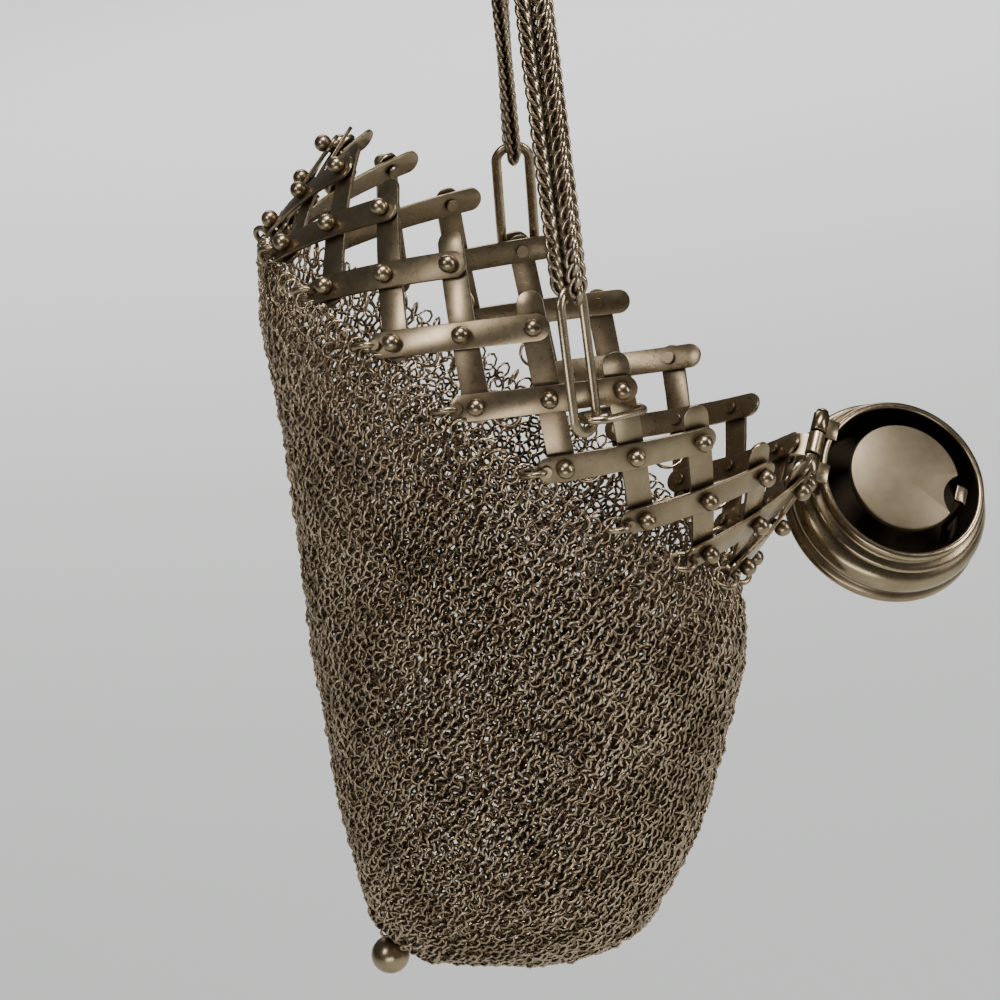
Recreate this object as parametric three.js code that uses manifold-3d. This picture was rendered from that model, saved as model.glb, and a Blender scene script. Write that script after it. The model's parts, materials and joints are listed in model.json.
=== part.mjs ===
// Gate-top mesh purse: a lattice ring of riveted strips carries a ring-mesh bag, a hinged lid and a chain.
// Millimetres and degrees, +Z up. The origin is the underside of the chain's bend, where the purse hangs.
import * as THREE from 'three';
import { mergeVertices } from 'three/addons/utils/BufferGeometryUtils.js';
import Module from 'manifold-3d';

const wasm = await Module();
wasm.setup();

// The gate ring, its strips and its rivets
const latticeRadius = 42.5;
const latticeHang = 127.15;
const latticeTilt = 43;
const stripPairs = 18;
const rivetRowRise = 6.81;
const stripWidth = 3.8;
const stripThickness = 0.55;
const outerTopReach = 2.3;
const outerBottomReach = 3.8;
const innerTopReach = 5.2;
const innerBottomReach = 2.4;
const rivetHeadDiameter = 2.5;
const rivetShankDiameter = 1.1;
const rivetFootDiameter = 2.0;
const rivetFootThickness = 0.4;
const pieceGap = 0.3;
const rivetPlay = 0.4;
const layerGap = 0.45;
const eyePlay = 0.37;
const eyeRim = 0.5;

// The stud that the far chain link hooks on
const studHeadDiameter = 4.2;
const studHeadHeight = 2.0;
const studNeck = 2.9;
const studNeckDiameter = 1.3;

// The bag of ring mesh and the jump rings that hang it from the gate
const bagDepth = 75.3;
const bagWall = 1.2;
const jumpRingDiameter = 4.2;
const jumpRingWire = 0.7;
const bagRimLift = 0.5;

// The cap and ball under the bag
const capDiameter = 11.6;
const capThickness = 1.1;
const ballDiameter = 5.9;
const ballSeat = 0.3;

// The lid, with its coin plate and catch
const lidHeight = 11;
const lidFlangeRadius = 16;
const lidRimRadius = 13.2;
const lidWall = 0.9;
const lidFloor = 2.2;
const lidRimBead = 0.2;
const lidDrop = 0.6;
const coinPlateDiameter = 17.5;
const coinPlateThickness = 1.3;
const coinPlateRise = 0.9;
const coinEdgeBevel = 0.25;
const coinNotchRadius = 4.2;
const coinNotchBite = 2.44;
const catchWidth = 2.6;
const catchThickness = 0.9;
const catchRise = 0.8;
const catchHook = 1.44;
const lidOpenAngle = 158;

// The hinge between the gate and the lid
const hingeRise = 6.4;
const hingeStandoff = 2.2;
const knuckleDiameter = 2.5;
const leafThickness = 1.0;
const hingePinDiameter = 1.0;
const hingeLength = 11;
const pinHeadDiameter = 2.0;
const pinHeadThickness = 0.5;

// The chain handle, its long links and the near link ring
const bandWidth = 5.4;
const bandThickness = 2.2;
const bendRadius = 3.0;
const longLinkLength = 22;
const longLinkWidth = 6.8;
const longLinkWire = 1.6;
const linkEyePlay = 0.9;
const studPlay = 0.1;
const longLinkTurn = 8;
const nearLinkLean = 1;
const linkRingLength = 12;
const linkRingWidth = 6.1;
const linkRingWire = 1.1;
const linkRingYaw = 34;
const linkRingPlay = 0.9;
const linkRingTilt = 12;
const linkRingDrop = 1.0;

// Sections of the bag from its rim to its bottom: depth as a share of bagDepth, the rest of latticeRadius
const bagSections = [
  { depth: 0.0, sideways: 0.0, halfWidth: 1.0, halfDepth: 1.0 },
  { depth: 0.12, sideways: 0.175, halfWidth: 1.015, halfDepth: 0.96 },
  { depth: 0.26, sideways: 0.36, halfWidth: 0.945, halfDepth: 0.9 },
  { depth: 0.42, sideways: 0.55, halfWidth: 0.87, halfDepth: 0.84 },
  { depth: 0.58, sideways: 0.71, halfWidth: 0.775, halfDepth: 0.77 },
  { depth: 0.72, sideways: 0.835, halfWidth: 0.655, halfDepth: 0.68 },
  { depth: 0.85, sideways: 0.865, halfWidth: 0.46, halfDepth: 0.52 },
  { depth: 0.94, sideways: 0.855, halfWidth: 0.26, halfDepth: 0.33 },
  { depth: 1.0, sideways: 0.855, halfWidth: 0.14, halfDepth: 0.14 },
];

const degrees = Math.PI / 180;
const unitX = new THREE.Vector3(1, 0, 0);

const silver = { color: 0x9c8f78, roughness: 0.32, metalness: 1 };
const meshSilver = { color: 0x7d7160, roughness: 0.45, metalness: 1 };
const platedSilver = { color: 0xa3977f, roughness: 0.25, metalness: 1 };
const darkSilver = { color: 0x8a7b63, roughness: 0.4, metalness: 1 };

// Strips lean so that their rivets meet the neighbours' rivets on the ring
const pitchAngle = (360 / stripPairs) * degrees;
const halfPitchArc = (latticeRadius * pitchAngle) / 2;
const stripLean = Math.atan2(rivetRowRise, halfPitchArc);
const rivetSpacing = Math.hypot(rivetRowRise, halfPitchArc);
const outerStripRadius = latticeRadius + (layerGap + stripThickness) / 2;
const innerStripRadius = latticeRadius - (layerGap + stripThickness) / 2;
const footTop = innerStripRadius - outerStripRadius - stripThickness / 2 - rivetPlay;

function toSolid(geometry) {
  const bare = geometry.clone();
  bare.deleteAttribute('normal');
  bare.deleteAttribute('uv');
  const merged = mergeVertices(bare, 1e-4);
  return new wasm.Manifold(new wasm.Mesh({
    numProp: 3,
    vertProperties: new Float32Array(merged.attributes.position.array),
    triVerts: new Uint32Array(merged.index.array),
  }));
}

function toGeometry(solid) {
  const mesh = solid.getMesh();
  const geometry = new THREE.BufferGeometry();
  geometry.setAttribute('position', new THREE.BufferAttribute(mesh.vertProperties, 3));
  geometry.setIndex(new THREE.BufferAttribute(mesh.triVerts, 1));
  geometry.computeVertexNormals();
  return geometry;
}

function mapVertices(geometry, move) {
  const position = geometry.attributes.position;
  const point = new THREE.Vector3();
  for (let index = 0; index < position.count; index += 1) {
    point.fromBufferAttribute(position, index);
    move(point);
    position.setXYZ(index, point.x, point.y, point.z);
  }
  return geometry;
}

function frameAt(origin, xAxis, yAxis, zAxis) {
  return new THREE.Matrix4().makeBasis(xAxis, yAxis, zAxis).setPosition(origin);
}

function lathe(profile, sides) {
  return new THREE.LatheGeometry(profile.map(([radius, height]) => new THREE.Vector2(radius, height)), sides);
}

function piece(name, geometry, look) {
  const mesh = new THREE.Mesh(geometry, new THREE.MeshStandardMaterial(look));
  mesh.name = name;
  return mesh;
}

// Directions and places on the ring, in the ring's own frame, whose +Z is the ring's axis
function outward(angle) {
  return new THREE.Vector3(Math.cos(angle), Math.sin(angle), 0);
}

function onRing(angle, radius, rise) {
  return new THREE.Vector3(radius * Math.cos(angle), radius * Math.sin(angle), rise);
}

function stripPlace(midAngle, lean, along, radius) {
  const angle = midAngle + (lean * along * Math.cos(stripLean)) / latticeRadius;
  return { angle, point: onRing(angle, radius, along * Math.sin(stripLean)) };
}

function stripAxes(angle, lean) {
  const around = new THREE.Vector3(-Math.sin(angle), Math.cos(angle), 0);
  const up = new THREE.Vector3(0, 0, 1);
  const along = around.clone().multiplyScalar(lean * Math.cos(stripLean)).addScaledVector(up, Math.sin(stripLean));
  const out = outward(angle);
  return { along, across: new THREE.Vector3().crossVectors(out, along), out };
}

function radialFrame(place) {
  const up = new THREE.Vector3(0, 0, 1);
  const out = outward(place.angle);
  return frameAt(place.point, new THREE.Vector3().crossVectors(out, up), out, up);
}

// A strip is a flat bar with round ends, bent to the ring: x runs up the strip, y across it and z outward
function stripBlank(midAngle, lean, radius, bottomReach, topReach) {
  const endRadius = stripWidth / 2;
  const bottom = -rivetSpacing - bottomReach;
  const top = rivetSpacing + topReach;
  const tipCut = endRadius * (1 - Math.cos(30 * degrees));
  const straight = top - bottom - stripWidth;
  const stations = [
    { along: bottom + tipCut, width: 0.5 },
    { along: bottom + endRadius, width: 1 },
    { along: bottom + endRadius + straight / 3, width: 1 },
    { along: bottom + endRadius + (2 * straight) / 3, width: 1 },
    { along: top - endRadius, width: 1 },
    { along: top - tipCut, width: 0.5 },
  ];
  const spans = stations.length - 1;
  const bar = new THREE.BoxGeometry(1, stripWidth, stripThickness, spans, 1, 1);
  return mapVertices(bar, (point) => {
    const station = stations[Math.round((point.x + 0.5) * spans)];
    const along = station.along;
    const across = point.y * station.width;
    const arc = lean * along * Math.cos(stripLean) - across * Math.sin(stripLean);
    const rise = along * Math.sin(stripLean) + lean * across * Math.cos(stripLean);
    point.copy(onRing(midAngle + arc / latticeRadius, radius + point.z, rise));
  });
}

// A rivet stands through both strips, with a ball outside and a flat foot inside
function rivet(place) {
  const headRadius = rivetHeadDiameter / 2;
  const shankRadius = rivetShankDiameter / 2;
  const face = stripThickness / 2;
  const head = lathe([
    [0, 0],
    [headRadius * 0.5, 0],
    [headRadius, face + headRadius * 0.68],
    [headRadius * 0.72, face + headRadius * 1.36],
    [0, face + headRadius * 1.68],
  ], 7);
  const foot = lathe([
    [0, footTop - rivetFootThickness],
    [rivetFootDiameter / 2, footTop - rivetFootThickness],
    [shankRadius, footTop],
    [shankRadius, 0],
    [0, 0],
  ], 6);
  return toSolid(head).add(toSolid(foot)).transform(radialFrame(place).elements);
}

// The stud has a longer neck and a wide head, which keep the long link on it
function stud(place) {
  const neckRadius = studNeckDiameter / 2;
  const headRadius = studHeadDiameter / 2;
  const neckTop = stripThickness / 2 + studNeck;
  const profile = [
    [0, footTop - rivetFootThickness],
    [rivetFootDiameter / 2, footTop - rivetFootThickness],
    [rivetShankDiameter / 2, footTop],
    [rivetShankDiameter / 2, 0],
    [neckRadius, 0],
    [neckRadius, neckTop],
    [headRadius, neckTop],
    [headRadius * 0.97, neckTop + studHeadHeight * 0.3],
    [headRadius * 0.6, neckTop + studHeadHeight * 0.85],
    [0, neckTop + studHeadHeight],
  ];
  return toSolid(lathe(profile, 10)).transform(radialFrame(place).elements);
}

function boreThrough(place, diameter, sides) {
  const cutter = new THREE.CylinderGeometry(diameter / 2, diameter / 2, 3 * stripThickness, sides);
  return toSolid(cutter).transform(radialFrame(place).elements);
}

const nearAngle = -90 * degrees;
const farAngle = 90 * degrees;
const hingeAngle = 10 * degrees;
const eyeDiameter = jumpRingWire + 2 * eyePlay;
const eyeReach = outerBottomReach - eyeDiameter / 2 - eyeRim;

function sameAngle(first, second) {
  return Math.abs(Math.sin((first - second) / 2)) < 0.01;
}

function outerStrip(midAngle) {
  let strip = toSolid(stripBlank(midAngle, 1, outerStripRadius, outerBottomReach, outerTopReach));
  for (const along of [-rivetSpacing, 0, rivetSpacing]) {
    const place = stripPlace(midAngle, 1, along, outerStripRadius);
    const onStud = along > 0 && sameAngle(place.angle, farAngle);
    strip = strip.add(onStud ? stud(place) : rivet(place));
  }
  const eye = stripPlace(midAngle, 1, -rivetSpacing - eyeReach, outerStripRadius);
  return strip.subtract(boreThrough(eye, eyeDiameter, 8));
}

function innerStrip(midAngle) {
  let strip = toSolid(stripBlank(midAngle, -1, innerStripRadius, innerBottomReach, innerTopReach));
  for (const along of [-rivetSpacing, 0, rivetSpacing]) {
    const hole = stripPlace(midAngle, -1, along, innerStripRadius);
    strip = strip.subtract(boreThrough(hole, rivetShankDiameter + 2 * rivetPlay, 6));
  }
  return strip;
}

// The hinge stands above the top rivet of one inner strip, square to that strip
const hingeStripMid = hingeAngle + pitchAngle / 2;
const hingeRivet = stripPlace(hingeStripMid, -1, rivetSpacing, innerStripRadius);
const hingeAxes = stripAxes(hingeRivet.angle, -1);
const hingeAxis = hingeAxes.across.clone().negate();
const hingePoint = hingeRivet.point.clone()
  .addScaledVector(hingeAxes.along, hingeRise)
  .addScaledVector(hingeAxes.out, hingeStandoff);
const armKnuckleLength = stripWidth;
const lidKnuckleLength = (hingeLength - armKnuckleLength) / 2 - pieceGap;

function barrel(length, middle, sides, diameter) {
  const tube = new THREE.CylinderGeometry(diameter / 2, diameter / 2, length, sides);
  tube.translate(0, middle, 0);
  return toSolid(tube);
}

// The hinge strip goes on above its top rivet, bends outward and ends in the middle knuckle
function hingeStrip() {
  const bendAlong = innerTopReach - stripWidth / 2;
  const arm = new THREE.Shape();
  const slope = new THREE.Vector2(hingeRise - bendAlong, hingeStandoff).normalize();
  const side = new THREE.Vector2(-slope.y, slope.x).multiplyScalar(stripThickness / 2);
  arm.moveTo(bendAlong - stripWidth / 2, -stripThickness / 2);
  arm.lineTo(bendAlong, -stripThickness / 2);
  arm.lineTo(hingeRise - side.x, hingeStandoff - side.y);
  arm.lineTo(hingeRise + side.x, hingeStandoff + side.y);
  arm.lineTo(bendAlong - stripThickness / 3, stripThickness / 2);
  arm.lineTo(bendAlong - stripWidth / 2, stripThickness / 2);
  const plate = new THREE.ExtrudeGeometry(arm, { depth: armKnuckleLength, bevelEnabled: false });
  plate.translate(0, 0, -armKnuckleLength / 2);
  const plateFrame = frameAt(hingeRivet.point, hingeAxes.along, hingeAxes.out, hingeAxis);
  const knuckleFrame = frameAt(hingePoint, hingeAxes.out, hingeAxis, hingeAxes.along);
  const knuckle = barrel(armKnuckleLength, 0, 12, knuckleDiameter).transform(knuckleFrame.elements);
  const bore = barrel(hingeLength, 0, 8, hingePinDiameter + 2 * pieceGap).transform(knuckleFrame.elements);
  return innerStrip(hingeStripMid)
    .add(toSolid(plate).transform(plateFrame.elements))
    .add(knuckle)
    .subtract(bore);
}

function hingePin() {
  const radius = hingePinDiameter / 2;
  const end = hingeLength / 2 + pieceGap;
  const headRadius = pinHeadDiameter / 2;
  const pin = lathe([
    [0, -end - pinHeadThickness],
    [headRadius, -end - pinHeadThickness],
    [headRadius, -end],
    [radius, -end],
    [radius, end],
    [headRadius, end],
    [headRadius, end + pinHeadThickness],
    [0, end + pinHeadThickness],
  ], 8);
  return pin;
}

// Rings and links: a torus, pulled apart along x into a link with straight sides
function linkShape(length, width, wire, steps, sides) {
  const meanRadius = (width - wire) / 2;
  const stretch = (length - width) / 2;
  const ring = new THREE.TorusGeometry(meanRadius, wire / 2, sides, steps);
  return mapVertices(ring, (point) => {
    const pull = Math.abs(point.x) < 1e-6 ? 0 : Math.sign(point.x);
    point.x += pull * stretch;
  });
}

// The bag hangs sideways of the ring's axis, because the ring is tilted and the mesh falls straight down
const jumpRingMean = (jumpRingDiameter - jumpRingWire) / 2;
const jumpRingAlong = -rivetSpacing - eyeReach - jumpRingMean;
const bagHangAlong = jumpRingAlong - jumpRingMean;
const bagRimRise = bagHangAlong * Math.sin(stripLean) + bagRimLift;
const bagPhase = (bagHangAlong * Math.cos(stripLean)) / latticeRadius;
const bagSides = 24;

function bagShell() {
  const levels = bagSections.map((section, index) => index);
  const outerSkin = levels.slice().reverse().map((level) => [2, level]);
  const innerSkin = levels.map((level) => [1, level]);
  const last = levels[levels.length - 1];
  const shell = lathe([[0, last], ...outerSkin, ...innerSkin, [0, last + 0.5]], bagSides);
  return mapVertices(shell, (point) => {
    const reach = Math.hypot(point.x, point.z);
    const angle = Math.atan2(-point.z, point.x) + bagPhase;
    const isInner = reach < 1.5 && (reach > 0.5 || point.y > last);
    const section = bagSections[Math.min(Math.round(point.y - 0.1), last)];
    const thin = isInner ? bagWall : 0;
    const share = reach > 0.5 ? 1 : 0;
    const lift = isInner && section.depth === 1 ? bagWall : 0;
    point.set(
      latticeRadius * section.sideways + share * (latticeRadius * section.halfWidth + bagWall / 2 - thin) * Math.cos(angle),
      share * (latticeRadius * section.halfDepth + bagWall / 2 - thin) * Math.sin(angle),
      bagRimRise - bagDepth * section.depth + lift,
    );
  });
}

function meshBag() {
  let bag = toSolid(bagShell());
  for (let index = 0; index < stripPairs; index += 1) {
    const place = stripPlace(index * pitchAngle, 1, jumpRingAlong, outerStripRadius);
    const axes = stripAxes(place.angle, 1);
    const ring = new THREE.TorusGeometry(jumpRingMean, jumpRingWire / 2, 5, 10);
    const frame = frameAt(place.point, axes.along, axes.out, axes.across.clone().negate());
    bag = bag.add(toSolid(ring).transform(frame.elements));
  }
  return bag;
}

const bagBottomRise = bagRimRise - bagDepth;
const lastSection = bagSections[bagSections.length - 1];

// Cap and ball share one axis, parallel to the ring's axis
function bottomCap() {
  const capRadius = capDiameter / 2;
  const top = bagBottomRise - pieceGap;
  const ballRadius = ballDiameter / 2;
  const ballMiddle = top - capThickness - ballRadius + ballSeat;
  const profile = [[0, ballMiddle - ballRadius]];
  for (let step = 1; step <= 7; step += 1) {
    const turn = step * 20 * degrees;
    profile.push([ballRadius * Math.sin(turn), ballMiddle - ballRadius * Math.cos(turn)]);
  }
  profile.push([ballRadius * 0.55, top - capThickness]);
  profile.push([capRadius * 0.7, top - capThickness * 0.85]);
  profile.push([capRadius, top - capThickness * 0.35]);
  profile.push([capRadius, top]);
  profile.push([0, top]);
  const cap = lathe(profile, 12);
  cap.rotateX(90 * degrees);
  cap.translate(latticeRadius * lastSection.sideways, 0, 0);
  return cap;
}

// The lid's own frame: origin on the hinge axis, x to the lid's middle, z out of its mouth
const lidReach = lidRimRadius + pieceGap + knuckleDiameter / 2;
const mouthLevel = -lidDrop;
const lidBack = mouthLevel - lidHeight;
const lidInnerRadius = lidRimRadius - lidWall - lidRimBead;
const lidFloorLevel = lidBack + lidFloor;

function lidShell() {
  const level = (share) => lidBack + lidHeight * share;
  const flange = lidFlangeRadius;
  const rim = lidRimRadius;
  const between = (share) => rim + (flange - rim) * share;
  const profile = [
    [0, lidBack],
    [flange * 0.62, lidBack],
    [flange * 0.84, level(0.03)],
    [flange * 0.97, level(0.09)],
    [flange, level(0.17)],
    [flange * 0.97, level(0.24)],
    [between(0.62), level(0.29)],
    [between(0.85), level(0.36)],
    [between(0.85), level(0.47)],
    [between(0.5), level(0.56)],
    [between(0.02), level(0.6)],
    [between(0.02), level(0.66)],
    [between(0.38), level(0.7)],
    [between(0.38), level(0.77)],
    [between(-0.12), level(0.82)],
    [between(-0.12), level(0.88)],
    [rim, level(0.92)],
    [rim, level(0.98)],
    [rim - lidWall * 0.5, mouthLevel],
    [lidInnerRadius, level(0.97)],
    [lidInnerRadius, lidFloorLevel],
    [0, lidFloorLevel],
  ];
  const shell = lathe(profile, 20);
  shell.rotateX(90 * degrees);
  shell.translate(lidReach, 0, 0);
  let lid = toSolid(shell);
  const knuckleMiddle = (armKnuckleLength + lidKnuckleLength) / 2 + pieceGap;
  const leafReach = lidReach - Math.sqrt(lidRimRadius ** 2 - (knuckleMiddle + lidKnuckleLength / 2) ** 2) + lidWall / 2;
  for (const side of [-1, 1]) {
    const middle = side * knuckleMiddle;
    const leaf = new THREE.BoxGeometry(leafReach, lidKnuckleLength, leafThickness);
    leaf.translate(leafReach / 2, middle, mouthLevel - leafThickness / 4);
    lid = lid.add(toSolid(leaf)).add(barrel(lidKnuckleLength, middle, 12, knuckleDiameter));
  }
  return lid.subtract(barrel(2 * hingeLength, 0, 8, hingePinDiameter + 2 * pieceGap));
}

// The coin plate stands on a short stem on the lid's floor, notched beside the catch
function coinPlate() {
  const radius = coinPlateDiameter / 2;
  const top = mouthLevel + coinPlateRise;
  const stemRadius = radius * 0.3;
  const floor = lidFloorLevel + pieceGap;
  const plate = lathe([
    [0, floor],
    [stemRadius, floor],
    [stemRadius, top - coinPlateThickness],
    [radius, top - coinPlateThickness],
    [radius, top - coinEdgeBevel],
    [radius - coinEdgeBevel, top],
    [0, top],
  ], 24);
  plate.rotateX(90 * degrees);
  const notch = new THREE.CylinderGeometry(coinNotchRadius, coinNotchRadius, 4 * coinPlateThickness, 16);
  notch.rotateX(90 * degrees);
  notch.translate(radius + coinNotchRadius - coinNotchBite, 0, top);
  const solid = toSolid(plate).subtract(toSolid(notch));
  return solid.translate([lidReach, 0, 0]);
}

// The catch rises from the lid's floor beside the notch and turns over toward the plate
function coinCatch() {
  const foot = coinPlateDiameter / 2 + catchThickness * 0.6;
  const floor = lidFloorLevel + pieceGap;
  const top = mouthLevel + coinPlateRise + catchRise;
  const hook = new THREE.Shape();
  hook.moveTo(foot, floor);
  hook.lineTo(foot + 2 * catchThickness, floor);
  hook.lineTo(foot + catchThickness, floor + catchThickness);
  hook.lineTo(foot + catchThickness, top - catchThickness / 2);
  hook.lineTo(foot + catchThickness / 2, top);
  hook.lineTo(foot - catchHook, top);
  hook.lineTo(foot - catchHook, top - catchThickness);
  hook.lineTo(foot, top - catchThickness);
  const bent = new THREE.ExtrudeGeometry(hook, { depth: catchWidth, bevelEnabled: false });
  bent.translate(0, 0, -catchWidth / 2);
  bent.rotateX(90 * degrees);
  bent.translate(lidReach, 0, 0);
  return bent;
}

// The purse: the ring group is tilted under the hanging point, and the lid group turns on the hinge in it
const purse = new THREE.Group();
const gate = new THREE.Group();
gate.rotation.y = latticeTilt * degrees;
gate.position.set(
  -rivetRowRise * Math.sin(latticeTilt * degrees),
  0,
  -latticeHang - rivetRowRise * Math.cos(latticeTilt * degrees),
);
purse.add(gate);
gate.updateMatrixWorld(true);

for (let index = 0; index < stripPairs; index += 1) {
  const midAngle = index * pitchAngle;
  const label = String(index + 1).padStart(2, '0');
  gate.add(piece(`outer_strip_${label}`, toGeometry(outerStrip(midAngle)), silver));
  if (!sameAngle(midAngle, hingeStripMid)) {
    gate.add(piece(`inner_strip_${label}`, toGeometry(innerStrip(midAngle)), silver));
  }
}
gate.add(piece('hinge_strip', toGeometry(hingeStrip()), silver));
gate.add(piece('mesh_bag', toGeometry(meshBag()), meshSilver));
gate.add(piece('bottom_cap', toGeometry(toSolid(bottomCap())), silver));

const lid = new THREE.Group();
const lidX = hingeAxes.out.clone().multiplyScalar(-Math.cos(lidOpenAngle * degrees))
  .addScaledVector(hingeAxes.along, Math.sin(lidOpenAngle * degrees));
const lidZ = hingeAxes.along.clone().multiplyScalar(-Math.cos(lidOpenAngle * degrees))
  .addScaledVector(hingeAxes.out, -Math.sin(lidOpenAngle * degrees));
lid.applyMatrix4(frameAt(hingePoint, lidX, hingeAxis, lidZ));
lid.add(piece('lid_shell', toGeometry(lidShell()), platedSilver));
lid.add(piece('coin_plate', toGeometry(coinPlate()), platedSilver));
lid.add(piece('coin_catch', coinCatch(), darkSilver));
lid.add(piece('hinge_pin', toGeometry(toSolid(hingePin())), darkSilver));
gate.add(lid);

// Chain ends in the purse's frame. The near link ring is hooked under the top rivet of an inner strip.
const linkMean = (longLinkWidth - longLinkWire) / 2;
const longLinkStraight = longLinkLength - longLinkWidth;
const ringMean = (linkRingWidth - linkRingWire) / 2;
const ringStraight = linkRingLength - linkRingWidth;

function nearLinkRing() {
  const rivetCrossing = stripWidth / 2 / Math.sin(2 * stripLean);
  const along = rivetSpacing - rivetCrossing - linkRingDrop - linkRingWire / 2;
  const place = stripPlace(nearAngle + pitchAngle / 2, -1, along, innerStripRadius);
  const axes = stripAxes(place.angle, -1);
  const yaw = linkRingYaw * degrees;
  const tilt = linkRingTilt * degrees;
  const level = axes.across.clone().multiplyScalar(Math.cos(yaw)).addScaledVector(axes.out, Math.sin(yaw));
  const wide = new THREE.Vector3().crossVectors(axes.along, level);
  const long = level.multiplyScalar(Math.cos(tilt)).addScaledVector(axes.along, Math.sin(tilt));
  const normal = new THREE.Vector3().crossVectors(long, wide);
  const middle = place.point.clone().addScaledVector(long, ringStraight / 2 + ringMean - stripWidth / 2 - linkRingPlay);
  const matrix = gate.matrixWorld.clone().multiply(frameAt(middle, long, wide, normal));
  return { matrix, end: new THREE.Vector3(ringStraight / 2, 0, 0).applyMatrix4(matrix) };
}

const nearRing = nearLinkRing();
const ringX = new THREE.Vector3().setFromMatrixColumn(nearRing.matrix, 0);
const ringY = new THREE.Vector3().setFromMatrixColumn(nearRing.matrix, 1);

// A long link starts where it is held, points up and lies in the plane of the given side
function longLinkFrame(hold, up, side, holdRadius) {
  const sideways = side.clone().addScaledVector(up, -side.dot(up)).normalize();
  const normal = new THREE.Vector3().crossVectors(up, sideways);
  const lowerBend = linkMean - longLinkWire / 2 - pieceGap - holdRadius;
  const middle = hold.clone().addScaledVector(up, lowerBend + longLinkStraight / 2);
  const eye = middle.clone().addScaledVector(up, longLinkStraight / 2 + linkMean);
  return { matrix: frameAt(middle, up, sideways, normal), eye, normal, up };
}

const turn = longLinkTurn * degrees;
const nearSide = ringX.clone().multiplyScalar(Math.cos(turn)).addScaledVector(ringY, Math.sin(turn));
const nearHold = nearRing.end.clone().addScaledVector(nearSide, ringMean);
const lean = nearLinkLean * degrees;
const nearUp = new THREE.Vector3(0, Math.sin(lean), Math.cos(lean));
const nearLink = longLinkFrame(nearHold, nearUp, nearSide, linkRingWire / 2);

const studOut = stripThickness / 2 + pieceGap + longLinkWire / 2 + studPlay;
const farHold = onRing(farAngle, outerStripRadius + studOut, rivetRowRise).applyMatrix4(gate.matrixWorld);
const farUp = farHold.clone().negate().normalize();
const farLink = longLinkFrame(farHold, farUp, unitX, studNeckDiameter / 2);

const linkRing = piece('link_ring', linkShape(linkRingLength, linkRingWidth, linkRingWire, 12, 5), silver);
linkRing.applyMatrix4(nearRing.matrix);
purse.add(linkRing);
for (const [name, link] of [['long_link_near', nearLink], ['long_link_far', farLink]]) {
  const mesh = piece(name, linkShape(longLinkLength, longLinkWidth, longLinkWire, 12, 6), silver);
  mesh.applyMatrix4(link.matrix);
  purse.add(mesh);
}

// The handle is a woven band: it runs from eye to eye over the bend and turns to face each long link
function handleRoute() {
  const bend = bendRadius + bandThickness / 2;
  const bendMiddle = new THREE.Vector3(0, 0, -bendRadius);
  const points = [];
  for (const [link, side] of [[nearLink, -1], [farLink, 1]]) {
    const drop = bendMiddle.z - link.eye.z;
    const strandLean = Math.atan2(Math.abs(link.eye.y), drop) - Math.asin(bend / Math.hypot(link.eye.y, drop));
    const leave = new THREE.Vector3(0, side * bend * Math.cos(strandLean), bendMiddle.z + bend * Math.sin(strandLean));
    const start = link.eye.clone().addScaledVector(link.up, 0.75 * bandWidth);
    const strand = [0, 0.3, 0.6, 0.92].map((share) => start.clone().lerp(leave, share));
    const arc = [strandLean, (90 * degrees + strandLean) / 2].map((angle) => new THREE.Vector3(
      0,
      side * bend * Math.cos(angle),
      bendMiddle.z + bend * Math.sin(angle),
    ));
    points.push([link.eye, ...strand, ...arc]);
  }
  const top = new THREE.Vector3(0, 0, bandThickness / 2);
  return new THREE.CatmullRomCurve3([...points[0], top, ...points[1].reverse()], false, 'centripetal');
}

function handleChain() {
  const route = handleRoute();
  const steps = 28;
  const corner = bandThickness * 0.3;
  const halfWidth = bandWidth / 2;
  const halfThickness = bandThickness / 2;
  const section = new THREE.Shape([
    new THREE.Vector2(-halfWidth, 0),
    new THREE.Vector2(-halfWidth + corner, -halfThickness),
    new THREE.Vector2(halfWidth - corner, -halfThickness),
    new THREE.Vector2(halfWidth, 0),
    new THREE.Vector2(halfWidth - corner, halfThickness),
    new THREE.Vector2(-halfWidth + corner, halfThickness),
  ]);
  const length = route.getLength();
  const endReach = bandWidth / 2;
  const band = new THREE.ExtrudeGeometry(section, { depth: length + 2 * endReach, steps, bevelEnabled: false });
  const nearNormal = nearLink.normal.clone().multiplyScalar(Math.sign(nearLink.normal.x));
  const farNormal = farLink.normal.clone().multiplyScalar(Math.sign(farLink.normal.y));
  // Steps crowd together at the bend and at both ends, where the band turns
  const crowding = 0.85;
  mapVertices(band, (point) => {
    const even = (2 * point.z) / (length + 2 * endReach) - 1;
    const crowded = even - (crowding * Math.sin(2 * Math.PI * even)) / (2 * Math.PI);
    const along = ((crowded + 1) / 2) * (length + 2 * endReach) - endReach;
    const share = THREE.MathUtils.clamp(along / length, 0, 1);
    const tangent = route.getTangentAt(share);
    const place = route.getPointAt(share).addScaledVector(tangent, along - share * length);
    const turned = Math.abs(2 * share - 1);
    const wide = unitX.clone().lerp(share < 0.5 ? nearNormal : farNormal, turned);
    wide.addScaledVector(tangent, -wide.dot(tangent)).normalize();
    const thick = new THREE.Vector3().crossVectors(tangent, wide);
    const across = point.x;
    const through = point.y;
    point.copy(place).addScaledVector(wide, across).addScaledVector(thick, through);
  });
  let chain = toSolid(band);
  for (const link of [nearLink, farLink]) {
    const eye = new THREE.CylinderGeometry(1, 1, 3 * bandThickness, 10);
    const radius = longLinkWire / 2 + linkEyePlay;
    eye.scale(radius, 1, radius);
    const sideways = new THREE.Vector3().crossVectors(link.normal, link.up);
    const frame = frameAt(link.eye, link.normal, sideways, new THREE.Vector3().crossVectors(link.normal, sideways));
    chain = chain.subtract(toSolid(eye).transform(frame.elements));
  }
  return chain;
}

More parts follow.
